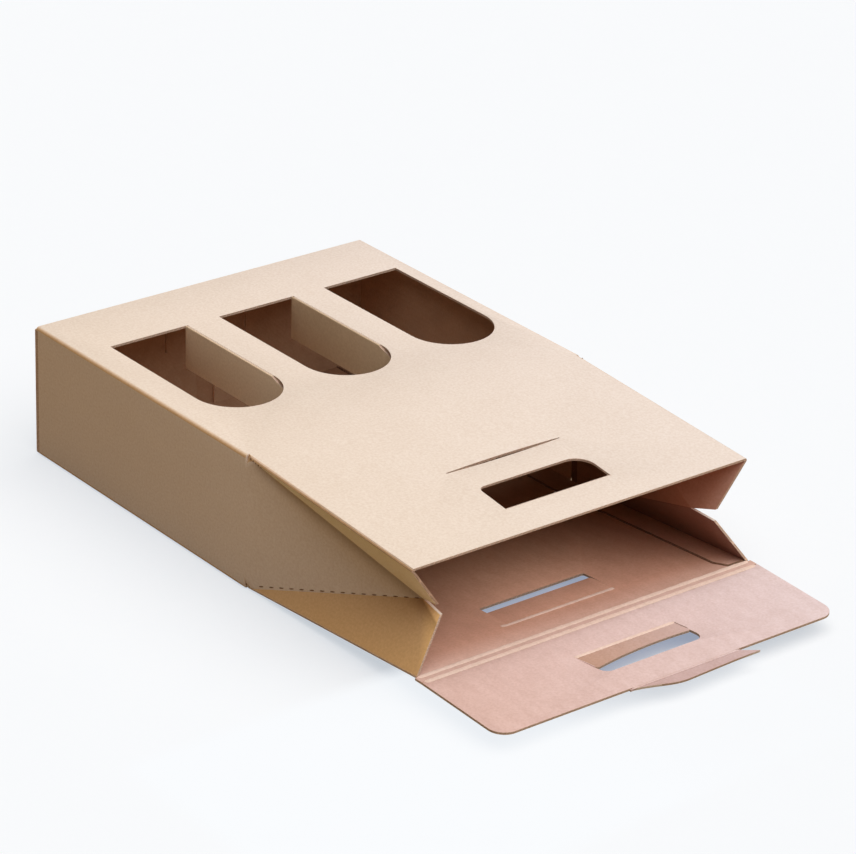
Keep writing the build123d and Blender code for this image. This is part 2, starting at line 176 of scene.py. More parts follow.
class PerforationLook(PropertyGroup):
    """Cuts along the lower fold of each side"""

    pitch: FloatProperty(
        name="Pitch", description="Distance from one cut to the next",
        subtype="DISTANCE", min=0.002, max=0.03, default=0.0081,
    )
    cut_length: FloatProperty(
        name="Cut Length", description="Length of one cut",
        subtype="DISTANCE", min=0.001, max=0.02, default=0.0042,
    )
    cut_width: FloatProperty(
        name="Cut Width", description="Width of one cut at its middle",
        subtype="DISTANCE", min=0.0002, max=0.003, default=0.0008,
    )


class StageLook(PropertyGroup):
    """Floor, lamps and camera"""

    floor_color: FloatVectorProperty(
        name="Floor", description="Colour of the plain floor and backdrop",
        subtype="COLOR", size=3, min=0, max=1, default=(0.958, 0.978, 1.000),
    )
    floor_glow: FloatVectorProperty(
        name="Floor Glow", description="Share of the floor's brightness that no shadow takes away",
        subtype="COLOR", size=3, min=0, max=1, default=(0.560, 0.600, 0.640),
    )
    # Painted light: a stronger glow lifts the closure's shadow from the floor around it.
    closure_painted_light: FloatVectorProperty(
        name="Edge Glow",
        description="The same share around the closure, which lies close to the floor",
        subtype="COLOR", size=3, min=0, max=1, default=(0.860, 0.880, 0.900),
    )
    # Painted shade: a weaker glow deepens the shade on the floor under the hand holes.
    hole_painted_shade: FloatVectorProperty(
        name="Hole Glow", description="The same share under the hand holes",
        subtype="COLOR", size=3, min=0, max=1, default=(0.300, 0.345, 0.440),
    )
    bounce_color: FloatVectorProperty(
        name="Floor Bounce",
        description="Colour of the light that the floor throws back on the carton",
        subtype="COLOR", size=3, min=0, max=1, default=(0.290, 0.175, 0.055),
    )
    key_strength: FloatProperty(
        name="Key Light", description="Strength of the soft light from above",
        min=0, max=10, default=2.80,
    )
    key_angle: FloatProperty(
        name="Key Softness", description="Angular size of the soft light",
        subtype="ANGLE", min=0, max=math.pi, default=math.radians(90),
    )
    fill_strength: FloatProperty(
        name="Fill", description="Strength of the even light from all round",
        min=0, max=3, default=0.12,
    )
    fill_color: FloatVectorProperty(
        name="Fill Colour", description="Colour of the even light from all round",
        subtype="COLOR", size=3, min=0, max=1, default=(1.0, 0.86, 0.70),
    )


# Materials


def new_material(name):
    material = bpy.data.materials.new(name)
    material.use_nodes = True
    tree = material.node_tree
    return material, tree, tree.nodes["Principled BSDF"]


def add_node(tree, kind, **values):
    node = tree.nodes.new(kind)
    for key, value in values.items():
        setattr(node, key, value)
    return node


def math_node(tree, operation, first, second=None):
    node = add_node(tree, "ShaderNodeMath", operation=operation)
    for socket, value in zip(node.inputs, (first, second)):
        if value is None:
            continue
        if isinstance(value, (int, float)):
            socket.default_value = value
        else:
            tree.links.new(value, socket)
    return node.outputs[0]


def chain(tree, operation, first, *others):
    """Joins several values by one operation, from left to right."""
    for other in others:
        first = math_node(tree, operation, first, other)
    return first


def object_coords(tree):
    return add_node(tree, "ShaderNodeTexCoord").outputs["Object"]


def split_axes(tree, vector):
    node = add_node(tree, "ShaderNodeSeparateXYZ")
    tree.links.new(vector, node.inputs[0])
    return node.outputs


def stretched_noise(tree, coords, stretch, scale, detail, roughness=0.55):
    mapping = add_node(tree, "ShaderNodeMapping")
    mapping.inputs["Scale"].default_value = stretch
    tree.links.new(coords, mapping.inputs["Vector"])
    noise = add_node(tree, "ShaderNodeTexNoise")
    noise.inputs["Scale"].default_value = scale
    noise.inputs["Detail"].default_value = detail
    noise.inputs["Roughness"].default_value = roughness
    tree.links.new(mapping.outputs[0], noise.inputs["Vector"])
    return noise.outputs["Fac"]


def ramp(tree, value, low, high, to_low=0.0, to_high=1.0):
    node = add_node(tree, "ShaderNodeMapRange")
    node.inputs["From Min"].default_value = low
    node.inputs["From Max"].default_value = high
    node.inputs["To Min"].default_value = to_low
    node.inputs["To Max"].default_value = to_high
    tree.links.new(value, node.inputs["Value"])
    return node.outputs[0]


def mix_color(tree, factor, first, second, blend="MIX"):
    node = add_node(tree, "ShaderNodeMix", data_type="RGBA", blend_type=blend)
    factor_socket, first_socket, second_socket = node.inputs[0], node.inputs[6], node.inputs[7]
    pairs = ((factor_socket, factor), (first_socket, first), (second_socket, second))
    for socket, value in pairs:
        if isinstance(value, bpy.types.NodeSocket):
            tree.links.new(value, socket)
        elif isinstance(value, (int, float)):
            socket.default_value = value
        else:
            socket.default_value = (*value, 1.0)
    return node.outputs[2]


def finish_paper(tree, shader, base, roughness, specular):
    tree.links.new(base, shader.inputs["Base Color"])
    tree.links.new(roughness, shader.inputs["Roughness"])
    shader.inputs["Specular IOR Level"].default_value = specular


def add_bump(tree, shader, height, strength, distance):
    bump = add_node(tree, "ShaderNodeBump")
    bump.inputs["Strength"].default_value = strength
    bump.inputs["Distance"].default_value = distance
    tree.links.new(height, bump.inputs["Height"])
    tree.links.new(bump.outputs[0], shader.inputs["Normal"])


def flute_wave(tree, axes, look):
    """Sine across the flutes, which run along the carton."""
    across = math_node(tree, "ADD", axes["X"], axes["Z"])
    return math_node(
        tree, "SINE", math_node(tree, "MULTIPLY", across, 2 * math.pi / look.flute_pitch)
    )


# The shaded valley under the upper crease: how far down it reaches, where it is darkest and
# how far past the crease it stops; over how much of the side it starts; where it ends in X.
VALLEY_DEPTH, VALLEY_RIM, VALLEY_STOP = 0.011, 0.0008, 0.0004
VALLEY_START = 0.012
VALLEY_END = (-0.100, -0.096)


def fold_shade(tree, axes):
    """1 in the valley of the upper crease on each side, fading down over the middle triangle."""
    top = Vector((-HALF_WIDTH, NICK_Y, BODY_HIGH.z))
    along = (APEX - top).normalized()
    across = Vector((0.0, 0.0, 1.0))
    across = (across - along * across.dot(along)).normalized()
    inward = math_node(tree, "MULTIPLY", math_node(tree, "ABSOLUTE", axes["X"]), -1.0)
    height = chain(
        tree, "ADD",
        math_node(tree, "MULTIPLY", inward, across.x),
        math_node(tree, "MULTIPLY", axes["Y"], across.y),
        math_node(tree, "MULTIPLY", axes["Z"], across.z),
    )
    height = math_node(tree, "SUBTRACT", height, top.dot(across))
    fade = math_node(tree, "POWER", ramp(tree, height, -VALLEY_DEPTH, -VALLEY_RIM), 2.0)
    stop = ramp(tree, height, -VALLEY_RIM, VALLEY_STOP, 1.0, 0.0)
    start = ramp(tree, axes["Y"], NICK_Y - VALLEY_START, NICK_Y, 1.0, 0.0)
    end = ramp(tree, inward, *VALLEY_END, 1.0, 0.0)
    return chain(tree, "MULTIPLY", fade, stop, start, end)


# Noises of the kraft paper: stretch along X, Y and Z, scale, detail and roughness.
EVEN = (1.0, 1.0, 1.0)
GRAIN = {
    "cloud": (EVEN, 26, 3, 0.55),
    "pulp": (EVEN, 620, 3, 0.6),
    "fibre": ((1.8, 0.7, 1.8), 900, 4, 0.7),
    "fleck": ((1.5, 0.5, 1.5), 1000, 2, 0.6),
    "streak": ((1.0, 0.35, 1.0), 150, 3, 0.55),
}
# What a mark leaves of the paper's colour in red, green and blue, where 1 leaves all of it.
BLOTCH_DARK, BLOTCH_PALE = (0.925, 0.895, 0.865), (1.025, 1.030, 1.035)
STREAK_TINT = (0.93, 0.91, 0.90)
FLECK_TINT = (0.80, 0.72, 0.62)
# Painted shade in a band before the closure's crease.
GROOVE_PAINTED_SHADE = (0.93, 0.90, 0.89)
# Painted shade in the valley under each side's upper crease.
VALLEY_PAINTED_SHADE = (0.66, 0.62, 0.60)
# The streaks hardly show in the outer liner.
OUTER_STREAK = 0.15
# Where the inner liner pales towards the spine by painted light, and how far before the
# closure's crease a band of painted shade runs, the shade of a shallow groove.
RIM_START, RIM_END = -0.2815, -0.262
GROOVE_START, GROOVE_END = 0.0060, 0.0024


def liner_material(name, look, color, far_color=None, axis="X", low=-0.12, high=0.12):
    """Kraft paper: faint clouds, blotchy pulp and fibres, and a trace of the flutes.

    The colour drifts from one to the other along an axis, partly as painted light and shade,
    and the layer of painted light and shade holds what each corner's colour loses or gains.
    """
    material, tree, shader = new_material(name)
    coords = object_coords(tree)
    axes = split_axes(tree, coords)
    grain = {key: stretched_noise(tree, coords, *values) for key, values in GRAIN.items()}
    # The drift is partly the paper's own tone and partly painted light and shade.
    drift = ramp(tree, axes[axis], low, high)
    base = mix_color(tree, drift, tuple(color), tuple(far_color or color))
    if name == "inner_liner":
        # Painted light: the inner liner pales towards the spine.
        rim = ramp(tree, axes["Y"], RIM_START, RIM_END)
        base = mix_color(tree, rim, tuple(look.inner_rim_light), base)
    elif name == "lid_liner":
        # Painted shade in a band before the closure's crease.
        crease = AXES["closure_crease"].y
        groove = ramp(tree, axes["Y"], crease - GROOVE_START, crease - GROOVE_END)
        base = mix_color(tree, groove, base, GROOVE_PAINTED_SHADE, "MULTIPLY")
    strength = look.streak * (OUTER_STREAK if name == "outer_liner" else 1.0)
    streak = ramp(tree, grain["streak"], 0.35, 0.65, 0.0, strength)
    base = mix_color(tree, streak, base, STREAK_TINT, "MULTIPLY")
    cloud = ramp(tree, grain["cloud"], 0.35, 0.65, -look.mottle / 2, look.mottle / 2)
    blotch = math_node(tree, "ADD", cloud, ramp(tree, grain["pulp"], 0.32, 0.68))
    blotch = mix_color(tree, blotch, BLOTCH_DARK, BLOTCH_PALE)
    base = mix_color(tree, 1.0, base, blotch, "MULTIPLY")
    fleck = ramp(tree, grain["fleck"], 0.66, 0.80, 0.0, look.fleck)
    base = mix_color(tree, fleck, base, FLECK_TINT, "MULTIPLY")
    # The layer of painted light and shade: what it takes from the colour or adds to it.
    painted_layer = add_node(tree, "ShaderNodeAttribute", attribute_name="PaintedLightShade").outputs["Color"]
    left_over = mix_color(tree, 1.0, EVEN, painted_layer, "SUBTRACT")
    base = mix_color(tree, 1.0, base, left_over, "MULTIPLY")
    if name == "outer_liner":
        # Painted shade in the valley under each side's upper crease.
        base = mix_color(tree, fold_shade(tree, axes), base, VALLEY_PAINTED_SHADE, "MULTIPLY")
    finish_paper(tree, shader, base, ramp(tree, grain["fibre"], 0.3, 0.7, 0.78, 0.92), 0.22)
    flutes = math_node(tree, "MULTIPLY", flute_wave(tree, axes, look), 0.10)
    fibres = math_node(tree, "MULTIPLY", grain["fibre"], 0.5)
    add_bump(tree, shader, chain(tree, "ADD", flutes, grain["pulp"], fibres), 0.5, 0.00013)
    return material


def cut_edge_material(name, look):
    """Two liners with the wavy core between them. The UV map's V runs across the board."""
    material, tree, shader = new_material(name)
    coords = object_coords(tree)
    depth = add_node(tree, "ShaderNodeUVMap", uv_map="Board")
    through = split_axes(tree, depth.outputs[0])["Y"]
    wave = flute_wave(tree, split_axes(tree, coords), look)
    middle, swing = 0.5, 0.30
    centre = math_node(tree, "ADD", math_node(tree, "MULTIPLY", wave, swing), middle)
    from_core = math_node(tree, "ABSOLUTE", math_node(tree, "SUBTRACT", through, centre))
    from_middle = math_node(tree, "ABSOLUTE", math_node(tree, "SUBTRACT", through, middle))
    core = ramp(tree, from_core, 0.08, 0.17, 1.0, 0.0)
    liners = ramp(tree, from_middle, 0.33, 0.40)
    paper = math_node(tree, "MAXIMUM", core, liners)
    fibre = stretched_noise(tree, coords, EVEN, 900, 4, 0.7)
    dark = tuple(c * 0.80 for c in look.core_color)
    pale = tuple(min(1, c * 1.12) for c in look.core_color)
    base = mix_color(tree, paper, dark, pale)
    loose = ramp(tree, fibre, 0.35, 0.7, 0.5, 0.0)
    base = mix_color(tree, loose, base, (0.7, 0.64, 0.58), "MULTIPLY")
    finish_paper(tree, shader, base, ramp(tree, fibre, 0.3, 0.7, 0.82, 0.95), 0.2)
    add_bump(tree, shader, math_node(tree, "ADD", paper, fibre), 0.6, 0.0002)
    return material


def gap_shade_material(name, look):
    """Inside of a cut or a gap: torn core paper, darkened by painted shade."""
    material, tree, shader = new_material(name)
    torn = stretched_noise(tree, object_coords(tree), EVEN, 1300, 3, 0.7)
    dark = tuple(c * share for c, share in zip(look.core_color, (0.18, 0.13, 0.10)))
    pale = tuple(c * share for c, share in zip(look.core_color, (0.42, 0.32, 0.26)))
    base = mix_color(tree, ramp(tree, torn, 0.4, 0.7), dark, pale)
    finish_paper(tree, shader, base, ramp(tree, torn, 0.3, 0.7, 0.85, 0.98), 0.15)
    return material


def shared(name, make):
    return bpy.data.materials.get(name) or make(name)


def outer_liner(look):
    return shared(
        "outer_liner", lambda n: liner_material(n, look, look.outer_color, look.outer_right)
    )


def lid_liner(look):
    return shared("lid_liner", lambda n: liner_material(n, look, look.lid_color, look.lid_right))


def inner_liner(look):
    # Painted light at the mouth, fading to painted shade deep inside the carton.
    colors = look.inner_mouth_light, look.inner_deep_shade
    return shared("inner_liner", lambda n: liner_material(n, look, *colors, "Y", -0.275, -0.150))


def gap_shade_core(look):
    return shared("gap_shade_core", lambda n: gap_shade_material(n, look))


def board_materials(look, lid):
    cut_edge = shared("fluted_cut_edge", lambda n: cut_edge_material(n, look))
    return [outer_liner(look), lid_liner(look) if lid else inner_liner(look), cut_edge]


# Board pieces


OUTER, INNER, EDGE = 0, 1, 2


def link(obj):
    bpy.context.scene.collection.objects.link(obj)
    return obj


def shade_smooth(data):
    for polygon in data.polygons:
        polygon.use_smooth = True


def evaluated_mesh(obj):
    bpy.context.view_layer.update()
    return bpy.data.meshes.new_from_object(obj.evaluated_get(bpy.context.evaluated_depsgraph_get()))


# Painted light and shade on one liner of a small piece, as a tint at its left and its right
# end. A tint is what is left of the liner's own colour.
PIECE_LIGHT_SHADE = {
    "divider_flap_left": (OUTER, (1.10, 1.00, 0.80), (1.10, 1.00, 0.80)),
    "divider_flap_middle": (OUTER, (0.90, 0.80, 0.60), (0.90, 0.80, 0.60)),
    "closure_spine": (INNER, (1.0, 1.0, 0.97), (0.925, 0.78, 0.67)),
    "closure_finger_flap": (INNER, (0.72, 0.60, 0.48), (0.80, 0.74, 0.70)),
    "tuck_tab": (INNER, (0.80, 0.75, 0.75), (0.80, 0.75, 0.75)),
}

# Painted light and shade, as tints: painted shade inside the folded-in sides and on the glue
# flap's top, and painted light and shade on the three triangles outside each side.
NO_TINT = Vector(EVEN)
INSIDE_LOWER_SHADE = Vector((0.38, 0.31, 0.30))
INSIDE_UPPER_SHADE = Vector((0.66, 0.58, 0.55))
GLUE_FLAP_SHADE = Vector((0.74, 0.68, 0.64))
LOWER_NICK = Vector((0.93, 0.93, 0.95))
LOWER_APEX = Vector((0.85, 0.87, 0.98))
LOWER_CORNER = Vector((1.06, 1.03, 0.95))
LOWER_TIP = Vector((1.38, 1.40, 1.25))
MIDDLE_END = Vector((0.88, 0.88, 0.90))
UPPER_ALL = Vector((1.15, 1.28, 1.30))

# Lean of a face of a folded-in side: outwards in the lower triangle, inwards in the upper
# one, and less than this in the middle one.
LEAN = 0.25
SIDE_LENGTH = 0.14
# Heights: from where the back of the lower triangle has the apex's tint, and where its front
# starts to turn paler towards the tip, and over how much.
APEX_HEIGHT = 0.035
CORNER_HEIGHT, TIP_RISE = 0.015, 0.028
# The top of the glue flap lies below this height.
FLAP_HEIGHT = 0.02
# A strip of the mesh that is narrower than this and leans two ways runs round a fold.
STRIP_WIDTH = 0.0005

# How far the other liner is looked for, and the thickest stack of board, in boards.
LINER_REACH, THICKEST = 0.02, 3.4
# Points closer than this are one point. Angles in degrees: an edge sharper than the first is
# crushed, and one sharper than the second is drawn as a hard line.
SAME_POINT = 2e-6
CRUSH_ANGLE, HARD_ANGLE = 35, 28


# Stores the painted light and shade at a corner as what it takes from the colour.
def write_painted_tint(loop, layer, tint):
    loop[layer] = (1.0 - tint[0], 1.0 - tint[1], 1.0 - tint[2], 1.0)


# Paints light and shade into a small piece, running from its left tint to its right one.
def paint_piece_light_shade(mesh, kind, left, right):
    layer = mesh.loops.layers.float_color.new("PaintedLightShade")
    low = min(vert.co.x for vert in mesh.verts)
    high = max(vert.co.x for vert in mesh.verts)
    for face in mesh.faces:
        for loop in face.loops:
            tint = NO_TINT
            if face.material_index == kind:
                share = (loop.vert.co.x - low) / (high - low)
                tint = Vector(left).lerp(Vector(right), share)
            write_painted_tint(loop, layer, tint)


def in_nick(place):
    """True on the small steps where the folded-in side starts, which the outer liner covers."""
    return abs(place.y - NICK_Y) < 0.003 and abs(abs(place.x) - HALF_WIDTH) < 0.004


def classify(mesh, outward, board):
    """A liner face has the other liner a board's thickness behind it. The rest is cut edge."""
    tree = BVHTree.FromBMesh(mesh)
    for face in mesh.faces:
        start = face.calc_center_median() - face.normal * 1e-5
        depth = tree.ray_cast(start, -face.normal, LINER_REACH)[3]
        if depth is None or depth > board * THICKEST:
            face.material_index = OUTER if in_nick(start) else EDGE
        else:
            face.material_index = OUTER if outward(start, face.normal) else INNER


def lay_uv(mesh):
    """V is 0 at the outer liner and 1 at the inner one, on every cut edge."""
    layer = mesh.loops.layers.uv.new("Board")
    for face in mesh.faces:
        on_edge = face.material_index == EDGE
        for loop in face.loops:
            kinds = {other.material_index for other in loop.vert.link_faces}
            through = 0.5
            if OUTER in kinds and INNER not in kinds:
                through = 0.0
            elif INNER in kinds and OUTER not in kinds:
                through = 1.0
            place = loop.vert.co
            loop[layer].uv = (place.x + place.z, through if on_edge else place.y)


def triangle_tint(normal, place, look):
    """Painted light and shade outside a folded-in side; the lean of a face tells its triangle."""
    if normal.z > LEAN:
        share = LOWER_APEX if place.z > APEX_HEIGHT else LOWER_NICK
        if place.y < APEX.y - 0.01:
            rise = max(0.0, min(1.0, (place.z - CORNER_HEIGHT) / TIP_RISE))
            share = LOWER_CORNER.lerp(LOWER_TIP, rise)
        # Painted golden shade, darker near the apex and paler towards the free tip.
        return Vector(a * b for a, b in zip(Vector(look.lower_triangle_shade), share))
    if normal.z > -LEAN:
        return NO_TINT.lerp(MIDDLE_END, (NICK_Y - place.y) / SIDE_LENGTH)
    return UPPER_ALL


def body_tint(face, vert, on_fold, look):
    """Painted light and shade of the carton, as a tint at one corner of a face."""
    normal, place, middle = face.normal, vert.co, face.calc_center_median()
    side = abs(normal.x) > 0.5 and middle.y < NICK_Y
    if face.material_index == INNER:
        if side:
            return INSIDE_LOWER_SHADE if middle.z < MID_HEIGHT * 0.9 else INSIDE_UPPER_SHADE
        on_flap = normal.z > 0.9 and place.x > FLAP_EDGE and place.z < FLAP_HEIGHT
        return GLUE_FLAP_SHADE if on_flap else NO_TINT
    if face.material_index == EDGE:
        return NO_TINT
    if on_fold:
        # Painted golden shade round a fold, strongest where the surface turns to the side.
        return NO_TINT.lerp(Vector(look.fold_golden_shade), min(1.0, 1.6 * abs(vert.normal.x)))
    return triangle_tint(normal, place, look) if side else NO_TINT


def paint_body_light_shade(mesh, look):
    """Paints light and shade into the carton's liner: what each corner's colour loses or gains.

    Painted golden shade on the strips that run round a fold, painted light and shade on the
    three triangles outside each folded-in side, and painted shade inside the sides and on
    the glue flap.
    """
    layer = mesh.loops.layers.float_color.new("PaintedLightShade")
    for face in mesh.faces:
        normal = face.normal
        longest = max(edge.calc_length() for edge in face.edges)
        narrow = face.calc_area() / longest < STRIP_WIDTH
        bent = abs(normal.y) < 0.3 and min(abs(normal.x), abs(normal.z)) > 0.05
        for loop in face.loops:
            write_painted_tint(loop, layer, body_tint(face, loop.vert, narrow and bent, look))


def trim_tips(mesh):
    """Cuts the free tip of each lower triangle a little shorter than in the CAD blank."""
    for vert in mesh.verts:
        side = -1.0 if vert.co.x > 0 else 1.0
        place = Vector((vert.co.x * side, vert.co.y, vert.co.z))
        if (place - TIP).length < 0.0015:
            vert.co += Vector((TIP_TRIM.x * side, TIP_TRIM.y, TIP_TRIM.z))


def body_outward(place, normal):
    """True for a face of the carton that looks away from its inside."""
    if abs(normal.y) > 0.7:
        return normal.y > 0
    across = normal.x * place.x / HALF_WIDTH
    up = normal.z * (place.z - MID_HEIGHT) / MID_HEIGHT
    return across + up > 0


def dress(node, outward, look, lid=False):
    """Copies a CAD node, gives it liners and cut edges, and shows it in the node's place."""
    mesh = bmesh.new()
    mesh.from_mesh(frame["nodes"][node].data)
    bmesh.ops.remove_doubles(mesh, verts=mesh.verts, dist=SAME_POINT)
    if node == "carton_body":
        trim_tips(mesh)
    mesh.normal_update()
    classify(mesh, outward, look.board)
    lay_uv(mesh)
    if node == "carton_body":
        paint_body_light_shade(mesh, look)
    elif node in PIECE_LIGHT_SHADE:
        paint_piece_light_shade(mesh, *PIECE_LIGHT_SHADE[node])
    data = bpy.data.meshes.new(node + "_paper")
    mesh.to_mesh(data)
    mesh.free()
    piece = link(bpy.data.objects.new(node + "_paper", data))
    for material in board_materials(look, lid):
        data.materials.append(material)
    bevel = piece.modifiers.new("Crushed edge", "BEVEL")
    bevel.width = look.edge_round
    bevel.segments = 2
    bevel.limit_method = "ANGLE"
    bevel.angle_limit = math.radians(CRUSH_ANGLE)
    bevel.use_clamp_overlap = True
    baked = evaluated_mesh(piece)
    piece.modifiers.clear()
    piece.data = baked
    shade_smooth(baked)
    baked.set_sharp_from_angle(angle=math.radians(HARD_ANGLE))
    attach(piece, NODE_BODY[node])
    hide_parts(node)


class CARTON_OT_dress_body(Operator):
    """Give the folded carton its liners and cut edges"""

    bl_idname = "bottle_carton.dress_body"
    bl_label = "Dress Body"

    def execute(self, context):
        dress("carton_body", body_outward, context.scene.board_look)
        return {"FINISHED"}


class CARTON_OT_dress_closure(Operator):
    """Give the spine, the closure flap, its tuck tab and its finger flap their liners"""

    bl_idname = "bottle_carton.dress_closure"
    bl_label = "Dress Closure"

    def execute(self, context):
        for node in ("closure_spine", "closure_flap", "tuck_tab", "closure_finger_flap"):
            dress(node, lambda place, normal: normal.z < 0, context.scene.board_look, True)
        return {"FINISHED"}


class CARTON_OT_dress_fingers(Operator):
    """Give the finger flaps of the front and back panels their liners"""

    bl_idname = "bottle_carton.dress_fingers"
    bl_label = "Dress Finger Flaps"

    def execute(self, context):
        look = context.scene.board_look
        dress("front_finger_flap", lambda place, normal: normal.z > 0, look)
        dress("back_finger_flap", lambda place, normal: normal.z < 0, look)
        return {"FINISHED"}


class CARTON_OT_dress_dividers(Operator):
    """Give the divider flaps under the windows their liners"""

    bl_idname = "bottle_carton.dress_dividers"
    bl_label = "Dress Dividers"

    def execute(self, context):
        for node in ("divider_flap_left", "divider_flap_middle"):
            dress(node, lambda place, normal: normal.x < 0, context.scene.board_look)
        return {"FINISHED"}


# Creases and perforations


# Sections of a bead, as shares of its radius. A ridge is flat and wide above the board and
# keeps a narrow foot in the gap of the crease, so it can turn with its flap.
ROUND = [(math.cos(math.pi * j / 6), math.sin(math.pi * j / 6)) for j in range(12)]
RIDGE = [
    (1.80, 0.66), (1.45, 0.86), (0.85, 0.99), (0.0, 1.04), (-0.85, 0.99), (-1.45, 0.86),
    (-1.80, 0.66), (-0.55, 0.30), (-0.50, -0.30), (0.0, -0.50), (0.50, -0.30), (0.55, 0.30),
]

# A bead is at its thinnest at its ends and has its full size from a sixtieth of its length on.
THINNEST, PINCH = 0.35, 60
# Radius of a fold that is only rounded, as a share of the bead radius.
ROUNDED = 0.47
# How far a finger flap's bead runs out past the flap.
RUN_OUT = 0.0006

# Side cuts of two finger flaps, from the crease to the free end, in mm. Three are pressed
# shut and one has torn open, with painted shade in its gap.
CUT_RADIUS = 0.00032
CUT_LINES = (
    ("closure_cut_left", lid_liner, "closure_finger_flap",
     (-37.2, -314.2, 12.94), (-34.75, -328.4, 13.00)),
    ("closure_cut_right", gap_shade_core, "closure_flap",
     (38.75, -313.7, 12.98), (40.45, -324.0, 13.02)),
    ("back_cut_left", inner_liner, "back_finger_flap",
     (-41.68, -257.8, 11.99), (-41.68, -239.4, 10.13)),
    ("back_cut_right", inner_liner, "back_finger_flap",
     (39.08, -257.8, 11.99), (39.08, -239.4, 10.13)),
)

# The dark line under the edge of the glue flap, a painted shadow in the gap under it: its
# radius, its height on the flat part of the back panel, where it starts, and how far it runs
# up the sloped part.
FLAP_LINE_RADIUS = 0.00072
FLAP_LINE_Z = 0.0017
FLAP_LINE_START = 0.1118
FLAP_LINE_FAR = 0.1678 - 0.0025
BACK_SLOPE = math.radians(4.25)


def straight(start, end, steps=90):
    return [start.lerp(end, i / steps) for i in range(steps + 1)]


def crease_path(joint, low, high, shift=(0.0, 0.0, 0.0)):
    """Points along a crease that runs in X, from low to high."""
    axis = AXES[joint] + Vector(shift)
    return straight(Vector((low, axis.y, axis.z)), Vector((high, axis.y, axis.z)))


def flap_line_path():
    """Points along the glue flap's edge: over the flat part, up the slope and round the end."""
    far = FLAP_LINE_FAR
    corners = [Vector((FLAP_EDGE, y, FLAP_LINE_Z)) for y in (FLAP_LINE_START, NICK_Y)]
    ends = ((FLAP_EDGE, far - 0.0090), (FLAP_EDGE + 0.0045, far), (HALF_WIDTH - 0.0022, far))
    for across, along in ends:
        ahead, rise = along * math.cos(BACK_SLOPE), along * math.sin(BACK_SLOPE)
        corners.append(Vector((across, NICK_Y - ahead, FLAP_LINE_Z + rise)))
    path = corners[:1]
    for start, end, steps in zip(corners, corners[1:], (30, 20, 3, 4)):
        path += straight(start, end, steps)[1:]
    return path


def bead(name, path, radius, material, node, section=ROUND, wide=1.0, wobble=1.0):
    """A slightly uneven bead along a path of points, pinched and closed at both ends."""
    ring = len(section)
    last = len(path) - 1
    points, faces = [], []
    for i, place in enumerate(path):
        ahead = (path[min(i + 1, last)] - path[max(i - 1, 0)]).normalized()
        side = ahead.cross(Vector((0, 0, 1))).normalized()
        up = side.cross(ahead)
        pinch = min(1.0, i / last * PINCH, (1 - i / last) * PINCH) ** 0.5
        size = radius * (THINNEST + (1 - THINNEST) * pinch)
        size *= 1 + wobble * (0.05 * math.sin(i * 1.7) + 0.04 * math.sin(i * 0.53 + 1))
        for across, rise in section:
            points.append(place + side * (size * wide * across) + up * (size * rise))
    for i in range(last):
        for j in range(ring):
            k = (j + 1) % ring
            faces.append((i * ring + j, i * ring + k, (i + 1) * ring + k, (i + 1) * ring + j))
    faces.append(tuple(range(ring - 1, -1, -1)))
    faces.append(tuple(last * ring + j for j in range(ring)))
    data = bpy.data.meshes.new(name)
    data.from_pydata(points, [], faces)
    data.materials.append(material)
    mesh = bmesh.new()
    mesh.from_mesh(data)
    bmesh.ops.recalc_face_normals(mesh, faces=mesh.faces)
    mesh.to_mesh(data)
    mesh.free()
    shade_smooth(data)
    piece = link(bpy.data.objects.new(name, data))
    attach(piece, NODE_BODY[node])


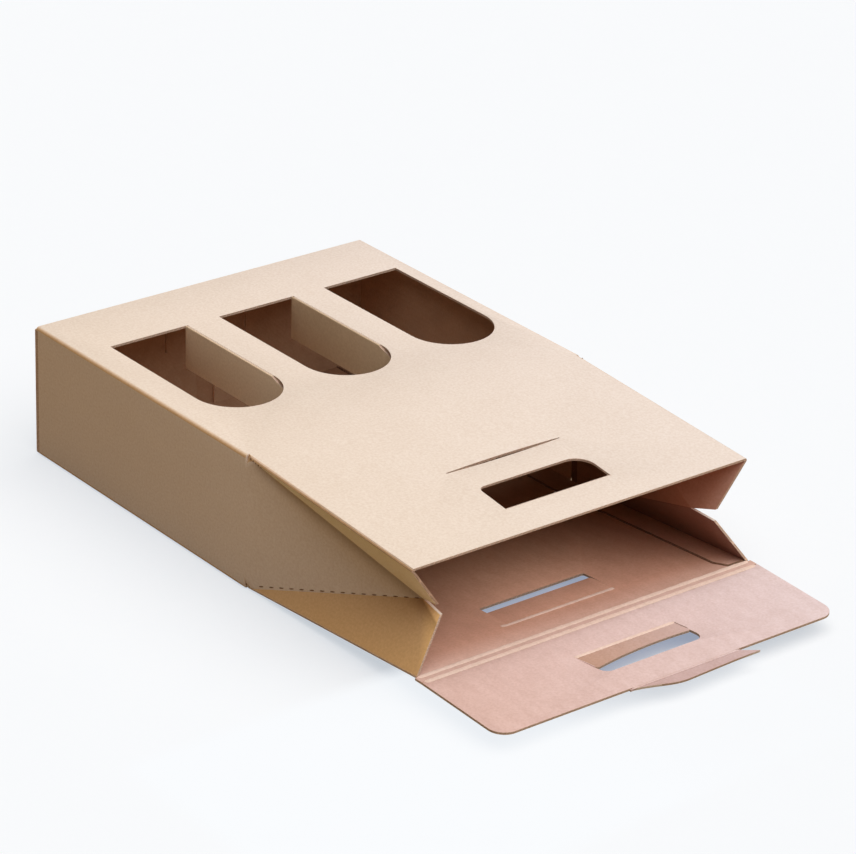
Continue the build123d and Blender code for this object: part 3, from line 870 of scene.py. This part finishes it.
class CARTON_OT_press_creases(Operator):
    """Raise a bead along each crease, and set the seams beside the flaps"""

    bl_idname = "bottle_carton.press_creases"
    bl_label = "Press Creases"

    def execute(self, context):
        look = context.scene.crease_look
        board = context.scene.board_look
        # Ridges paler partly as stretched paper and partly as a painted highlight.
        ridge = shared("stretched_crease_highlight", lambda n: liner_material(n, board, look.bead_color))
        size, wide = look.bead_radius, look.bead_width
        self.press_closure(board, ridge, size, wide)
        self.press_panels(board, ridge, size, wide)
        for name, material, node, start, end in CUT_LINES:
            path = straight(Vector(start) / 1000, Vector(end) / 1000, 20)
            bead(name, path, CUT_RADIUS, material(board), node, wobble=0.5)
        # Painted shadow: a dark line in the gap under the glue flap's edge.
        path = flap_line_path()
        bead("glue_flap_shadow_line", path, FLAP_LINE_RADIUS, gap_shade_core(board), "carton_body", wobble=0.9)
        return {"FINISHED"}

    def press_closure(self, board, ridge, size, wide):
        """Presses the two creases at the mouth, the tab's and the closure's finger flap's."""
        wall = HALF_WIDTH - 0.0004
        margin, ear, torn_end = 0.0008, 0.0112, 0.0014
        path = crease_path("spine_crease", -wall, wall)
        bead("spine_crease_bead", path, size, ridge, "closure_spine", RIDGE, wide)
        path = crease_path("closure_crease", -wall, wall)
        bead("closure_crease_bead", path, size, ridge, "closure_flap", RIDGE, wide)
        low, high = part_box("tuck_tab")
        path = crease_path("tab_crease", low.x + margin, high.x - ear)
        lid = lid_liner(board)
        bead("tab_crease_bead", path, size * 0.94, lid, "closure_flap", RIDGE, wide * 0.5, 0.2)
        low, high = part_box("closure_finger_flap")
        path = crease_path("closure_finger_crease", low.x - RUN_OUT, high.x - torn_end)
        bead("closure_finger_bead", path, size, ridge, "closure_flap", RIDGE, wide * 0.75)

    def press_panels(self, board, ridge, size, wide):
        """Presses the creases of the finger flaps and divider flaps of the two large panels."""
        body = "carton_body"
        margin, divider_length = 0.0002, 0.0935
        low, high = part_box("back_finger_flap")
        path = crease_path("back_finger_crease", low.x - RUN_OUT, high.x + RUN_OUT)
        # The left end runs out in a short curl.
        curl = [path[0] + Vector((-0.0008 * i, 0.00003 * i * i, 0.0)) for i in range(7, 0, -1)]
        bead("back_finger_bead", curl + path, size, ridge, body, RIDGE, wide * 0.75)
        outer = outer_liner(board)
        low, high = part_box("front_finger_flap")
        shift = (0.0, -0.0005, 0.00022)
        path = crease_path("front_finger_crease", low.x + margin, high.x - margin, shift)
        bead("front_finger_bead", path, size * ROUNDED, outer, body, wobble=0.3)
        for word in ("left", "middle"):
            axis = AXES["divider_" + word + "_crease"] + Vector((0.0005, 0.0, 0.00024))
            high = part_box("divider_flap_" + word)[1].y
            start = Vector((axis.x, high - divider_length, axis.z))
            path = straight(start, Vector((axis.x, high - margin, axis.z)))
            bead("divider_" + word + "_bead", path, size * ROUNDED, outer, body, wobble=0.2)


def perforation_tree(material):
    """Node tree that sets one cut on every pitch of a line."""
    tree = bpy.data.node_groups.new("Perforation", "GeometryNodeTree")
    tree.interface.new_socket("Geometry", in_out="INPUT", socket_type="NodeSocketGeometry")
    for name in ("Pitch", "Cut Length", "Cut Width"):
        tree.interface.new_socket(name, in_out="INPUT", socket_type="NodeSocketFloat")
    tree.interface.new_socket("Geometry", in_out="OUTPUT", socket_type="NodeSocketGeometry")
    source = add_node(tree, "NodeGroupInput")
    result = add_node(tree, "NodeGroupOutput")
    resample = add_node(tree, "GeometryNodeResampleCurve", mode="LENGTH")
    curve = add_node(tree, "GeometryNodeMeshToCurve")
    cut = add_node(tree, "GeometryNodeMeshUVSphere")
    cut.inputs["Segments"].default_value = 8
    cut.inputs["Rings"].default_value = 4
    cut.inputs["Radius"].default_value = 1.0
    size = add_node(tree, "ShaderNodeCombineXYZ")
    half_long = add_node(tree, "ShaderNodeMath", operation="MULTIPLY")
    half_wide = add_node(tree, "ShaderNodeMath", operation="MULTIPLY")
    half_long.inputs[1].default_value = 0.5
    half_wide.inputs[1].default_value = 0.5
    instance = add_node(tree, "GeometryNodeInstanceOnPoints")
    tangent = add_node(tree, "GeometryNodeInputTangent")
    align = add_node(tree, "FunctionNodeAlignRotationToVector", axis="X")
    realize = add_node(tree, "GeometryNodeRealizeInstances")
    paint = add_node(tree, "GeometryNodeSetMaterial")
    paint.inputs["Material"].default_value = material
    join = tree.links.new
    join(source.outputs["Geometry"], curve.inputs["Mesh"])
    join(curve.outputs["Curve"], resample.inputs["Curve"])
    join(source.outputs["Pitch"], resample.inputs["Length"])
    join(source.outputs["Cut Length"], half_long.inputs[0])
    join(source.outputs["Cut Width"], half_wide.inputs[0])
    join(half_long.outputs[0], size.inputs["X"])
    join(half_wide.outputs[0], size.inputs["Y"])
    join(half_wide.outputs[0], size.inputs["Z"])
    join(resample.outputs["Curve"], instance.inputs["Points"])
    join(cut.outputs["Mesh"], instance.inputs["Instance"])
    join(tangent.outputs[0], align.inputs["Vector"])
    join(align.outputs[0], instance.inputs["Rotation"])
    join(size.outputs[0], instance.inputs["Scale"])
    join(instance.outputs["Instances"], realize.inputs["Geometry"])
    join(realize.outputs["Geometry"], paint.inputs["Geometry"])
    join(paint.outputs["Geometry"], result.inputs["Geometry"])
    return tree


def row_of_cuts(name, start, end, values, material):
    """Runs the perforation tree along one line and keeps the result as a plain mesh."""
    data = bpy.data.meshes.new(name)
    data.from_pydata([start, end], [(0, 1)], [])
    piece = link(bpy.data.objects.new(name, data))
    modifier = piece.modifiers.new("Perforation", "NODES")
    tree = bpy.data.node_groups.get("Perforation") or perforation_tree(material)
    modifier.node_group = tree
    for item in tree.interface.items_tree:
        if item.name in values and item.in_out == "INPUT":
            modifier[item.identifier] = values[item.name]
    baked = evaluated_mesh(piece)
    piece.modifiers.clear()
    piece.data = baked
    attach(piece, NODE_BODY["carton_body"])


# The torn start of the upper fold is a row of smaller cuts, close together.
TORN_CUTS = {"Pitch": 0.0021, "Cut Length": 0.0012, "Cut Width": 0.0009}
# Where each row runs, as shares of the way from the nick to the apex.
LOWER_ROW = (0.10, 0.97)
TORN_ROW = (0.03, 0.09)


class CARTON_OT_cut_perforations(Operator):
    """Set a row of short cuts along the lower fold of each side, and tear the upper one"""

    bl_idname = "bottle_carton.cut_perforations"
    bl_label = "Cut Perforations"

    def execute(self, context):
        look = context.scene.perforation_look
        # The cuts are dark with painted shade in their gaps.
        torn = gap_shade_core(context.scene.board_look)
        cuts = {"Pitch": look.pitch, "Cut Length": look.cut_length, "Cut Width": look.cut_width}
        low = Vector((-HALF_WIDTH, NICK_Y, 0.0020))
        high = Vector((-HALF_WIDTH, NICK_Y, BODY_HIGH.z))
        for side, word in ((1, "left"), (-1, "right")):
            flip = Vector((side, 1, 1))
            row = [low.lerp(APEX, share) * flip for share in LOWER_ROW]
            row_of_cuts("perforation_" + word, *row, cuts, torn)
            row = [high.lerp(APEX, share) * flip for share in TORN_ROW]
            row_of_cuts("torn_nick_" + word, *row, TORN_CUTS, torn)
        return {"FINISHED"}


# Stage


# The floor: half its width, how far back it goes, the radius of its curve and the height of
# the backdrop behind it. It lies a hair below the carton.
FLOOR_HALF, FLOOR_BACK, FLOOR_CURVE, BACKDROP_TOP = 6.0, 3.2, 1.2, 4.0
FLOOR_DROP = 0.0002
CURVE_STEPS = 12

# Parts of the floor where its glow changes, painting light beside and before the closure and
# shade under the hand holes: range in X, range in Y and the width of the soft rim.
BESIDE_CLOSURE = ((-0.30, -0.116), (-0.45, -0.255), 0.014)
BEFORE_CLOSURE = ((-0.30, 0.06), (-0.45, -0.338), 0.012)
UNDER_HOLES = ((-0.045, 0.060), (-0.318, -0.205), 0.010)

# Direction to the soft light.
KEY_DIRECTION = (0.13, -0.28, 1.0)

# Camera of the photo, fitted to corner points of the carton: image size, focal length and
# middle of the view in pixels, place in metres, and yaw, pitch and roll in degrees.
IMAGE_WIDTH, IMAGE_HEIGHT = 856, 854
FOCAL_LENGTH = 3922.94
VIEW_MIDDLE = (449.21, 443.92)
SENSOR_WIDTH = 36.0
CAMERA_PLACE = (-1.35834, -1.80905, 1.09656)
CAMERA_TURN = (39.2417, 25.4662, 2.0405)


def soft_box(tree, axes, x_range, y_range, soft):
    """1 inside a rectangle of the floor, fading to 0 outside it."""
    inside = 1.0
    for axis, (low, high) in (("X", x_range), ("Y", y_range)):
        rise = ramp(tree, axes[axis], low - soft, low)
        fall = ramp(tree, axes[axis], high, high + soft, 1.0, 0.0)
        inside = chain(tree, "MULTIPLY", rise, fall, inside)
    return inside


def seen_by_eye(tree):
    """1 for what the camera sees, directly or in a reflection."""
    path = add_node(tree, "ShaderNodeLightPath")
    return math_node(
        tree, "MAXIMUM", path.outputs["Is Camera Ray"], path.outputs["Is Glossy Ray"]
    )


def floor_material(look):
    """A pale floor that keeps a soft shadow. Light that bounces off it is dimmer and warmer."""
    material, tree, shader = new_material("studio_floor")
    coords = object_coords(tree)
    axes = split_axes(tree, coords)
    seen = seen_by_eye(tree)
    pale = tuple(look.floor_color)
    grain = ramp(tree, stretched_noise(tree, coords, EVEN, 30, 3), 0.3, 0.7)
    shown = mix_color(tree, grain, tuple(c * 0.998 for c in pale), pale)
    left = soft_box(tree, axes, *BESIDE_CLOSURE)
    front = soft_box(tree, axes, *BEFORE_CLOSURE)
    front = math_node(tree, "MULTIPLY", front, ramp(tree, axes["X"], -0.08, -0.01, 1.0, 0.3))
    near = math_node(tree, "MAXIMUM", left, front)
    under = soft_box(tree, axes, *UNDER_HOLES)
    # Painted light beside and before the closure, and painted shade under the hand holes.
    share = mix_color(tree, near, tuple(look.floor_glow), tuple(look.closure_painted_light))
    share = mix_color(tree, under, share, tuple(look.hole_painted_shade))
    rest = mix_color(tree, 1.0, EVEN, share, "SUBTRACT")
    lit = mix_color(tree, 1.0, shown, rest, "MULTIPLY")
    glow = mix_color(tree, 1.0, shown, share, "MULTIPLY")
    base = mix_color(tree, seen, tuple(look.bounce_color), lit)
    tree.links.new(base, shader.inputs["Base Color"])
    tree.links.new(glow, shader.inputs["Emission Color"])
    tree.links.new(seen, shader.inputs["Emission Strength"])
    shader.inputs["Roughness"].default_value = 1.0
    shader.inputs["Specular IOR Level"].default_value = 0.0
    return material


def lay_floor(look):
    profile = [(-FLOOR_HALF, 0.0), (FLOOR_BACK, 0.0)]
    for i in range(1, CURVE_STEPS + 1):
        turn = math.pi / 2 * i / CURVE_STEPS
        ahead, rise = FLOOR_CURVE * math.sin(turn), FLOOR_CURVE - FLOOR_CURVE * math.cos(turn)
        profile.append((FLOOR_BACK + ahead, rise))
    profile.append((FLOOR_BACK + FLOOR_CURVE, BACKDROP_TOP))
    points, faces = [], []
    for y, z in profile:
        points += [(-FLOOR_HALF, y, z - FLOOR_DROP), (FLOOR_HALF, y, z - FLOOR_DROP)]
    for i in range(len(profile) - 1):
        faces.append((2 * i, 2 * i + 1, 2 * i + 3, 2 * i + 2))
    data = bpy.data.meshes.new("studio_floor")
    data.from_pydata(points, [], faces)
    data.materials.append(floor_material(look))
    shade_smooth(data)
    link(bpy.data.objects.new("studio_floor", data))


def hang_lamps(scene, look):
    sun = bpy.data.lights.new("key_light", "SUN")
    sun.energy = look.key_strength
    sun.angle = look.key_angle
    key = link(bpy.data.objects.new("key_light", sun))
    key.rotation_euler = Vector(KEY_DIRECTION).to_track_quat("Z", "Y").to_euler()
    world = bpy.data.worlds.new("studio_world")
    world.use_nodes = True
    scene.world = world
    tree = world.node_tree
    glow = tree.nodes["Background"]
    seen = seen_by_eye(tree)
    color = mix_color(tree, seen, tuple(look.fill_color), tuple(look.floor_color))
    tree.links.new(color, glow.inputs["Color"])
    tree.links.new(ramp(tree, seen, 0.0, 1.0, look.fill_strength, 1.0), glow.inputs["Strength"])


def place_camera(scene):
    lens = bpy.data.cameras.new("photo_camera")
    lens.sensor_width = SENSOR_WIDTH
    lens.lens = FOCAL_LENGTH / IMAGE_WIDTH * SENSOR_WIDTH
    lens.shift_x = (IMAGE_WIDTH / 2 - VIEW_MIDDLE[0]) / IMAGE_WIDTH
    lens.shift_y = (VIEW_MIDDLE[1] - IMAGE_HEIGHT / 2) / IMAGE_WIDTH
    lens.clip_start, lens.clip_end = 0.05, 50
    camera = link(bpy.data.objects.new("photo_camera", lens))
    yaw, pitch, roll = (math.radians(angle) for angle in CAMERA_TURN)
    level = Vector((math.cos(yaw), -math.sin(yaw), 0.0))
    flat = math.cos(pitch)
    ahead = Vector((math.sin(yaw) * flat, math.cos(yaw) * flat, -math.sin(pitch)))
    upright = level.cross(ahead)
    right = level * math.cos(roll) + upright * math.sin(roll)
    up = upright * math.cos(roll) - level * math.sin(roll)
    turn = Matrix((right, up, -ahead)).transposed()
    camera.matrix_world = Matrix.Translation(CAMERA_PLACE) @ turn.to_4x4()
    scene.camera = camera


class CARTON_OT_set_stage(Operator):
    """Lay the plain floor, hang the soft lamps and place the camera"""

    bl_idname = "bottle_carton.set_stage"
    bl_label = "Set Stage"

    def execute(self, context):
        scene = context.scene
        lay_floor(scene.stage_look)
        hang_lamps(scene, scene.stage_look)
        place_camera(scene)
        scene.view_settings.view_transform = "Standard"
        return {"FINISHED"}


# Panel and registration


STEPS = (
    CARTON_OT_dress_body,
    CARTON_OT_dress_closure,
    CARTON_OT_dress_fingers,
    CARTON_OT_dress_dividers,
    CARTON_OT_press_creases,
    CARTON_OT_cut_perforations,
    CARTON_OT_set_stage,
)

GROUPS = {
    "board_look": BoardLook,
    "crease_look": CreaseLook,
    "perforation_look": PerforationLook,
    "stage_look": StageLook,
}


class CARTON_PT_panel(Panel):
    """Sizes and colours of the carton, and the steps that dress it"""

    bl_idname = "CARTON_PT_panel"
    bl_label = "Bottle Carton"
    bl_space_type = "VIEW_3D"
    bl_region_type = "UI"
    bl_category = "Bottle Carton"

    def draw(self, context):
        layout = self.layout
        for name in GROUPS:
            box = layout.box()
            group = getattr(context.scene, name)
            for key in group.__annotations__:
                box.prop(group, key)
        for step in STEPS:
            layout.operator(step.bl_idname)


def register():
    for cls in (*GROUPS.values(), *STEPS, CARTON_PT_panel):
        bpy.utils.register_class(cls)
    for name, group in GROUPS.items():
        setattr(bpy.types.Scene, name, PointerProperty(type=group))


def unregister():
    for name in GROUPS:
        delattr(bpy.types.Scene, name)
    for cls in reversed((*GROUPS.values(), *STEPS, CARTON_PT_panel)):
        bpy.utils.unregister_class(cls)


def main():
    register()
    for step in STEPS:
        group, name = step.bl_idname.split(".")
        getattr(getattr(bpy.ops, group), name)()


if __name__ == "__main__":
    main()
